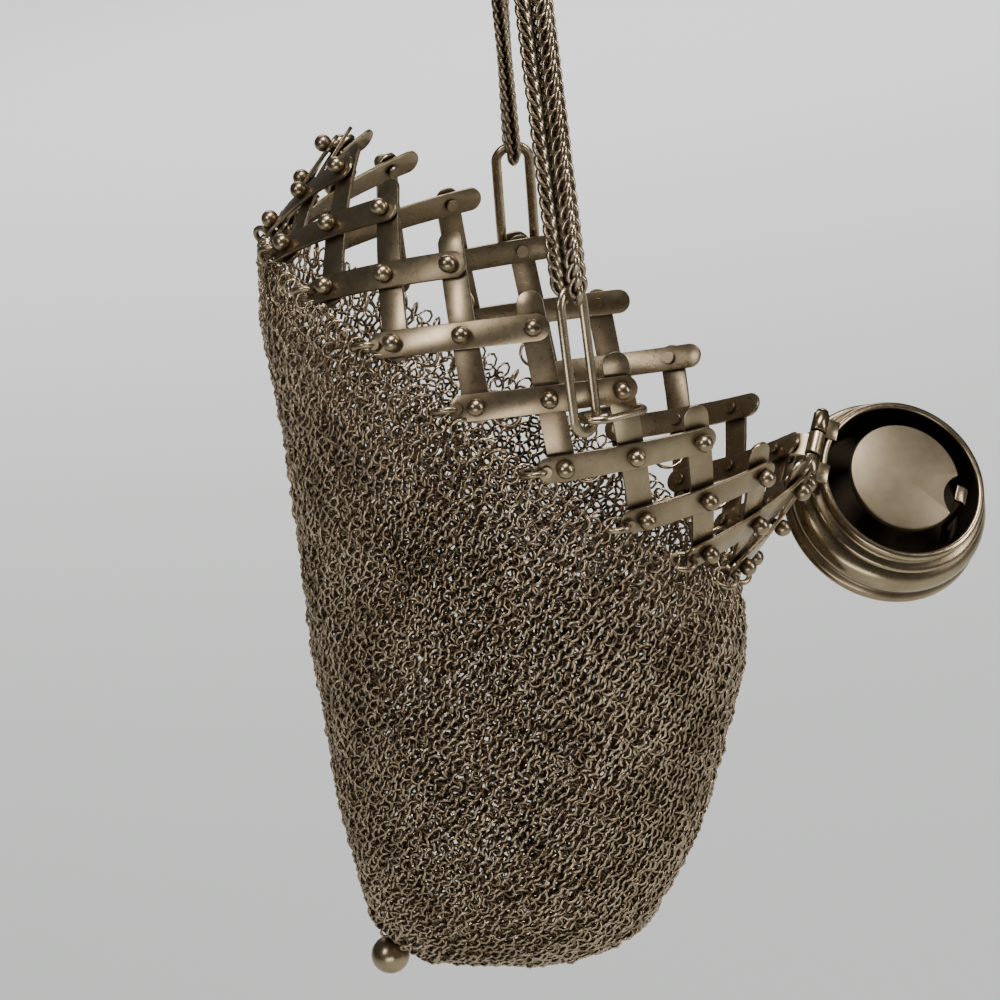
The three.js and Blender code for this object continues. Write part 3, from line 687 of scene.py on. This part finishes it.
gate_turn = np.array(GATE.to_3x3())
gate_at = np.array(GATE.translation)
mesh_rings = []
looseness = np.clip(1 - np.arange(2 * int(mean_travel / MESH_ROW)) / LOOSE_ROWS, 0, 1)
heights = np.concatenate([[0], np.cumsum(MESH_ROW * (1 + LOOSE_ROW_GAIN * looseness))])
heights = heights[heights < mean_travel + MESH_ROW / 2]
for row, share in enumerate(heights / heights[-1]):
    line = mesh_row(share)
    below = mesh_row(min(share + 0.01, 1.0)) - mesh_row(max(share - 0.01, 0.0))
    around = np.linalg.norm(np.diff(np.vstack([line, line[:1]]), axis=0), axis=1).sum()
    loose = looseness[row]
    count = int(around / (MESH_PITCH * (1 + LOOSE_PITCH_GAIN * loose)))
    places, ways, shares = along_line(line, count, 0.5 * (row % 2))
    index = (shares * BAG_SIDES).astype(int) % BAG_SIDES
    downs = unit(below[index])
    downs = unit(downs - ways * (downs * ways).sum(1, keepdims=True))
    outs = np.cross(ways, downs)
    outs *= np.sign((outs * (places - line.mean(0))).sum(1, keepdims=True))
    leans = (MESH_LEAN if row % 2 else -MESH_LEAN) + rng.normal(0, UNEVEN_TURN, count)
    tips = rng.normal(0, UNEVEN_TURN, count)
    firsts = unit(ways * np.cos(leans)[:, None] + outs * np.sin(leans)[:, None])
    seconds = unit(downs + outs * np.sin(tips)[:, None])
    seconds = unit(seconds - firsts * (seconds * firsts).sum(1, keepdims=True))
    places = places + rng.normal(0, UNEVEN_PLACE, (count, 3))
    means = MESH_MEAN * (1 + LOOSE_SIZE_GAIN * loose) * (1 + rng.normal(0, UNEVEN_SIZE, count))
    wires = np.full(count, MESH_WIRE * (1 - LOOSE_WIRE_LOSS * loose))
    mesh_rings.append((
        places @ gate_turn.T + gate_at, firsts @ gate_turn.T, seconds @ gate_turn.T, means, wires,
    ))
bands = ("ring_mesh_top", "ring_mesh_upper", "ring_mesh_lower", "ring_mesh_bottom")
sums = np.cumsum([len(row[3]) for row in mesh_rings])
ends = [*np.searchsorted(sums, sums[-1] * np.arange(len(bands)) / len(bands)), len(mesh_rings)]
for name, first, last in zip(bands, ends[:-1], ends[1:]):
    mesh_piece = ring_field(name, mesh_rings[first:last], 8, 4)
    finish_piece(mesh_piece, name, mesh_silver, "purse", "mesh_bag")


# The mesh is gathered under a small dished cap, turned from rod with a polished ball on its end.
CAP_RADIUS, BALL = 5.8 * MM, 2.95 * MM
BAG_BOTTOM = BAG_RIM - BAG_DEPTH
cap_top = BAG_BOTTOM - 0.3 * MM
ball_middle = cap_top - 0.8 * MM - BALL
cap_rows = [
    # share of the radius, millimetres below the top
    (0.0, 0.35), (0.6, 0.3), (0.9, 0.05), (0.97, 0.0), (0.999, 0.12), (1.0, 0.35), (0.93, 0.5), (0.75, 0.72),
    (0.52, 0.95), (0.36, 1.08), (0.27, 1.2),
]
cap_outline = [(CAP_RADIUS * share, cap_top - below * MM) for share, below in cap_rows]
bottom_cap = turned("bottom_cap_metal", [*cap_outline, *ball_profile(BALL, ball_middle, 33, 180, 16)], 48)
bake(bottom_cap, lambda point: GATE @ (point + Vector((RING_RADIUS * bag_sections[-1, 1], 0, 0))))
smooth(bottom_cap)
finish_piece(bottom_cap, "bottom_cap_metal", strip_silver, "purse", "bottom_cap")


# The lid is a deep round cover, turned with a rim, two beads, a cove, a full belly and a base flange.
# It hangs open on its hinge with its mouth to the front. Its knuckles are soldered on at the rim.
LID_HEIGHT, LID_RIM, LID_FLANGE = 11.0 * MM, 13.2 * MM, 16.0 * MM
MOUTH = -0.6 * MM
LID_BACK = MOUTH - LID_HEIGHT
LID_KNUCKLE, KNUCKLE_GAP = 3.3 * MM, 0.3 * MM
LID_REACH = LID_RIM + KNUCKLE_GAP + KNUCKLE
LID_OPEN = math.radians(158)
LEAF_THICK, LEAF_EDGE, LEAF_LAP, LEAF_DROP = 0.9 * MM, 0.12 * MM, 0.45 * MM, 0.25 * MM
lid_x = -math.cos(LID_OPEN) * outward + math.sin(LID_OPEN) * upward
lid_z = -math.cos(LID_OPEN) * upward - math.sin(LID_OPEN) * outward
LID = basis(lid_x, hinge_way, lid_z, hinge_at)
LID_MIDDLE = LID @ Matrix.Translation((LID_REACH, 0, 0))
lid_silver = tarnished_and_shaded(
    "lid_silver", (0.46, 0.36, 0.23, 1.0), (0.24, 0.18, 0.11, 1.0), 0.15, patch=10.0, grain=0.10, reach=7.0,
    hollow=True)

lid_rows = [
    # share of the way from rim to flange, height above the back as a share of the lid's height
    (-0.95, 0.000), (0.25, 0.012), (0.72, 0.035), (0.93, 0.065), (1.00, 0.105), (0.985, 0.150),
    (0.90, 0.185), (0.72, 0.205), (0.64, 0.225), (0.66, 0.250), (0.76, 0.285), (0.85, 0.330), (0.885, 0.385),
    (0.875, 0.445), (0.80, 0.505), (0.66, 0.555), (0.46, 0.595), (0.24, 0.622), (0.08, 0.640), (0.02, 0.655),
    (0.06, 0.672), (0.20, 0.684), (0.33, 0.700), (0.39, 0.722), (0.39, 0.745), (0.31, 0.768), (0.16, 0.785),
    (0.00, 0.798), (-0.10, 0.815), (-0.13, 0.838), (-0.12, 0.862), (-0.06, 0.882), (0.00, 0.900),
    (0.03, 0.925), (0.03, 0.955), (-0.02, 0.980), (-0.12, 0.995), (-0.24, 1.000), (-0.34, 0.990),
    (-0.39, 0.960), (-0.39, 0.900), (-0.39, 0.260), (-0.46, 0.215), (-0.62, 0.200), (-2.4, 0.200),
]
lid_profile = [
    (LID_RIM + (LID_FLANGE - LID_RIM) * share, LID_BACK + LID_HEIGHT * height) for share, height in lid_rows
]
lid_body = turned("lid_body", [(0.0, LID_BACK), *lid_profile, (0.0, lid_profile[-1][1])], 96)
# The points inside the lid's recess are marked here, for the near-black painted shade in the lid's finish.
shade = lid_body.data.attributes.new("hollow", "FLOAT", "POINT")
for vertex in lid_body.data.vertices:
    inside = vertex.co.xy.length < LID_RIM - 0.75 * MM and vertex.co.z > LID_BACK + 0.5 * MM
    shade.data[vertex.index].value = float(inside and vertex.co.z < MOUTH - 0.35 * MM)
lid_body.location.x = LID_REACH
knuckle_middle = (STRIP_WIDTH + LID_KNUCKLE) / 2 + KNUCKLE_GAP
knuckle_reach = knuckle_middle + LID_KNUCKLE / 2
leaf_end = LID_REACH - math.sqrt(LID_RIM**2 - knuckle_reach**2) + LEAF_LAP
lid_parts = [lid_body]
for side in (-1, 1):
    bpy.ops.mesh.primitive_cube_add(size=1.0)
    leaf = bpy.context.object
    leaf.scale = (leaf_end - 1.5 * PIN, LID_KNUCKLE, LEAF_THICK)
    leaf.location = (leaf_end / 2 + 0.75 * PIN, side * knuckle_middle, MOUTH - LEAF_DROP)
    bpy.ops.object.transform_apply(location=False, scale=True)
    edit(leaf)
    bpy.ops.mesh.select_all(action="SELECT")
    bpy.ops.mesh.bevel(offset=LEAF_EDGE, segments=2, affect="EDGES")
    start()
    knuckle = rolled(LID_KNUCKLE)
    knuckle.rotation_euler.x = -math.pi / 2
    knuckle.location.y = side * knuckle_middle
    lid_parts += [leaf, knuckle]
lid_shell = fuse(lid_parts, "lid_shell_metal")
bake(lid_shell, lambda point: LID @ point)
smooth(lid_shell, 50)
finish_piece(lid_shell, "lid_shell_metal", lid_silver, "lid", "lid_shell")


# A round plate stands inside the lid on a short stem, a little proud of the mouth. It is flat, lightly
# scratched, and has a concave notch opposite the hinge.
PLATE, PLATE_THICK, PLATE_RISE = 8.75 * MM, 1.3 * MM, 0.9 * MM
STEM, FLOOR_THICK = 2.6 * MM, 2.2 * MM
NOTCH, NOTCH_BITE = 4.2 * MM, 2.44 * MM
plate_silver = tarnished_and_shaded(
    "plate_silver", (0.245, 0.195, 0.13, 1.0), (0.18, 0.14, 0.09, 1.0), 0.38,
    patch=5.0, grain=0.12, reach=0.8)
plate_top = MOUTH + PLATE_RISE
plate_foot = plate_top - PLATE_THICK
lid_floor = LID_BACK + FLOOR_THICK + 0.3 * MM
plate = turned("plate", [
    (0.0, lid_floor), (STEM, lid_floor), (STEM, plate_foot - 0.3 * MM), (STEM + 0.3 * MM, plate_foot),
    (PLATE - 0.2 * MM, plate_foot), (PLATE, plate_foot + 0.2 * MM), (PLATE, plate_top - 0.22 * MM),
    (PLATE - 0.07 * MM, plate_top - 0.07 * MM), (PLATE - 0.22 * MM, plate_top), (0.0, plate_top),
], 96)
notch_place = (PLATE + NOTCH - NOTCH_BITE, 0, plate_top)
bpy.ops.mesh.primitive_cylinder_add(vertices=64, radius=NOTCH, depth=4 * PLATE_THICK, location=notch_place)
cut_away(plate, bpy.context.object)
bake(plate, lambda point: LID_MIDDLE @ point)
smooth(plate)
finish_piece(plate, "coin_plate_metal", plate_silver, "lid", "coin_plate")


# The catch is a narrow spring strip that stands on the lid's floor beside the notch and hooks over toward
# the plate.
CATCH_WIDTH, CATCH_THICK = 2.6 * MM, 0.9 * MM
catch_foot = PLATE + 0.6 * CATCH_THICK
catch_top = plate_top + 0.8 * MM
catch_rise = [
    # both in thicknesses of the strip: out from its foot, up from the lid's floor
    (1.9, 0.45), (0.75, 0.6), (0.5, 1.4),
]
catch_hook = [
    # out from its foot, down from its top
    (0.5, 2.2), (0.48, 1.3), (0.2, 0.7), (-0.35, 0.5), (-1.45, 0.5),
]
catch_line = [
    *((catch_foot + out * CATCH_THICK, lid_floor + up * CATCH_THICK) for out, up in catch_rise),
    *((catch_foot + out * CATCH_THICK, catch_top - down * CATCH_THICK) for out, down in catch_hook),
]
catch = bent_strip(catch_line, CATCH_WIDTH, 0.86 * CATCH_THICK)
edit(catch)
bpy.ops.mesh.select_all(action="SELECT")
bpy.ops.mesh.normals_make_consistent(inside=False)
start()
edges = catch.modifiers.new("soft", "BEVEL")
edges.width = 0.14 * MM
edges.segments = 3
edges.limit_method = "ANGLE"
edges.angle_limit = math.radians(60)
apply_modifier(catch, edges)
bake(catch, lambda point: LID_MIDDLE @ point)
smooth(catch, 50)
finish_piece(catch, "coin_catch_metal", strip_silver, "lid", "coin_catch")


# The hinge pin is a plain rod with a small domed head at each end. It passes through the strip's knuckle
# and the lid's two, and turns with the lid.
PIN_END, PIN_HEAD = 5.8 * MM, 0.98 * MM
pin_head = [
    (0.0, PIN_END + 0.5 * MM), (0.55 * MM, PIN_END + 0.46 * MM), (0.88 * MM, PIN_END + 0.32 * MM),
    (PIN_HEAD, PIN_END + 0.1 * MM), (PIN_HEAD, PIN_END), (PIN, PIN_END),
]
pin = turned("pin", [*pin_head, *[(radius, -height) for radius, height in reversed(pin_head)]], 20)
pin.rotation_euler.x = -math.pi / 2
bake(pin, lambda point: LID @ point)
smooth(pin)
finish_piece(pin, "hinge_pin_metal", strip_silver, "lid", "hinge_pin")


# A small oval ring goes round one inner strip on the near side, and two long oval links, near and far,
# carry the handle. They are of heavy wire, and the long ones have a groove down the wire.
LINK_LENGTH, LINK_WIDTH, LINK_WIRE = 22.0 * MM, 6.8 * MM, 1.6 * MM
OVAL_LENGTH, OVAL_WIDTH, OVAL_WIRE = 12.0 * MM, 6.1 * MM, 1.1 * MM
GROOVE_DEPTH, GROOVE_WIDTH = 0.30, 0.12
link_silver = tarnished_and_shaded(
    "link_silver", (0.54, 0.43, 0.29, 1.0), (0.32, 0.24, 0.15, 1.0), 0.18, patch=5.0, grain=0.12, reach=1.5)


def oval_link(length, width, wire, grooved):
    """A ring pulled apart along x into a link with straight sides, with or without a groove on each face."""
    mean = (width - wire) / 2
    bpy.ops.mesh.primitive_torus_add(
        major_radius=mean, minor_radius=wire / 2, major_segments=48, minor_segments=24)
    link = bpy.context.object
    for vertex in link.data.vertices:
        flat = Vector((vertex.co.x, vertex.co.y, 0))
        spine = flat.normalized() * mean
        roll = math.atan2(vertex.co.z, (flat - spine).dot(flat))
        if grooved:
            off_middle = (abs(math.sin(roll)) - 1) / GROOVE_WIDTH
            vertex.co.z *= 1 - GROOVE_DEPTH * math.exp(-off_middle**2)
        vertex.co.x += (length - width) / 2 * ((vertex.co.x > 1e-6) - (vertex.co.x < -1e-6))
    return link


def seat(name):
    """The middle of a link's node in the frame, and the node's long, wide and thin directions."""
    points = np.array([vertex.co for vertex in frame["nodes"][name].data.vertices])
    _, directions = np.linalg.eigh(np.cov(points.T))
    thin, wide, long = directions.T
    return points.mean(0), long * math.copysign(1, long[2]), wide, thin


link_seats = {name: seat(name) for name in ("link_ring", "long_link_near", "long_link_far")}
for name, (at, long, wide, _) in link_seats.items():
    if name == "link_ring":
        link = oval_link(OVAL_LENGTH, OVAL_WIDTH, OVAL_WIRE, False)
    else:
        link = oval_link(LINK_LENGTH, LINK_WIDTH, LINK_WIRE, True)
    placed = basis(Vector(long), Vector(wide), Vector(long).cross(Vector(wide)), Vector(at))
    bake(link, lambda point, placed=placed: placed @ point)
    smooth(link, 80)
    finish_piece(link, f"{name}_metal", link_silver, "purse", name)


# The handle is a double chain: two woven chains lie side by side from the near link over the bend at the
# top to the far link. Each is made of folded loops that hook through the next, and they turn on the way.
BAND_WIDTH = 5.4 * MM
COLUMN_OUT = 0.265 * BAND_WIDTH
LOOP_STEP, LOOP_WIRE, LOOP_MEAN = 1.9 * MM, 0.38 * MM, 1.08 * MM
LOOP_STRETCH, LOOP_SLANT = 1.35, 0.25
LOOP_TILT = math.radians(42)
BEND_RADIUS, BEND_MIDDLE = 4.1 * MM, -3.0 * MM
EYE_RISE = (LINK_LENGTH - LINK_WIRE) / 2
chain_silver = tarnished_and_shaded(
    "chain_silver", (0.60, 0.48, 0.33, 1.0), (0.24, 0.175, 0.11, 1.0), 0.16, patch=8.0, grain=0.12, reach=1.2)


def strand(link, side):
    """The points of the route from a link's eye straight up to the bend and half way round it."""
    at, up, _, _ = link
    eye = at + up * EYE_RISE
    start = eye + up * 0.75 * BAND_WIDTH
    drop = BEND_MIDDLE - eye[2]
    lean = math.atan2(abs(eye[1]), drop) - math.asin(BEND_RADIUS / math.hypot(eye[1], drop))
    bend = [
        np.array((0.0, side * BEND_RADIUS * math.cos(turn), BEND_MIDDLE + BEND_RADIUS * math.sin(turn)))
        for turn in (lean, math.pi / 4 + lean / 2)
    ]
    return [eye, *[start + (bend[0] - start) * share for share in (0.0, 0.3, 0.6, 0.92)], *bend]


near_link, far_link = link_seats["long_link_near"], link_seats["long_link_far"]
bend_top = np.array((0.0, 0.0, BEND_MIDDLE + BEND_RADIUS))
chain_points = np.array([*strand(near_link, -1), bend_top, *reversed(strand(far_link, 1))])
near_wide = near_link[3] * math.copysign(1, near_link[3][0])
far_wide = far_link[3] * math.copysign(1, far_link[3][1])


def smooth_route(points):
    """A smooth line through the route's points, and the length so far at each of its steps."""
    gaps = np.concatenate([[0], np.cumsum(np.sqrt(np.linalg.norm(np.diff(points, axis=0), axis=1)))])
    rows = np.column_stack([gaps / gaps[-1], points])
    line = eased(rows, np.linspace(0, 0.999999, 2000))
    return line, np.concatenate([[0], np.cumsum(np.linalg.norm(np.diff(line, axis=0), axis=1))])


route, lengths = smooth_route(chain_points)
loops = int(lengths[-1] / LOOP_STEP) + 1
wanted = np.linspace(0, lengths[-1], loops)
centres = np.stack([np.interp(wanted, lengths, route[:, axis]) for axis in range(3)], axis=1)
ways = unit(np.gradient(centres, axis=0))
turned_share = np.abs(2 * np.linspace(0, 1, loops) - 1)[:, None]
near_half = np.arange(loops)[:, None] < loops / 2
wides = np.where(near_half, near_wide, far_wide) * turned_share + np.array((1.0, 0, 0)) * (1 - turned_share)
wides = unit(wides - ways * (wides * ways).sum(1, keepdims=True))
thicks = np.cross(ways, wides)
chain_rings = []
for column in (-1, 1):
    for lean in (-1, 1):
        middles = centres + wides * column * COLUMN_OUT + (0.25 * LOOP_STEP * lean) * ways
        across = wides * math.cos(LOOP_TILT) + thicks * math.sin(LOOP_TILT) * lean
        along = ways + LOOP_SLANT * column * wides
        means, wires = np.full(loops, LOOP_MEAN), np.full(loops, LOOP_WIRE)
        chain_rings.append((middles, LOOP_STRETCH * unit(along), unit(across), means, wires))
handle = ring_field("handle_chain_metal", chain_rings, 14, 6)
finish_piece(handle, "handle_chain_metal", chain_silver, "purse", "handle_chain")
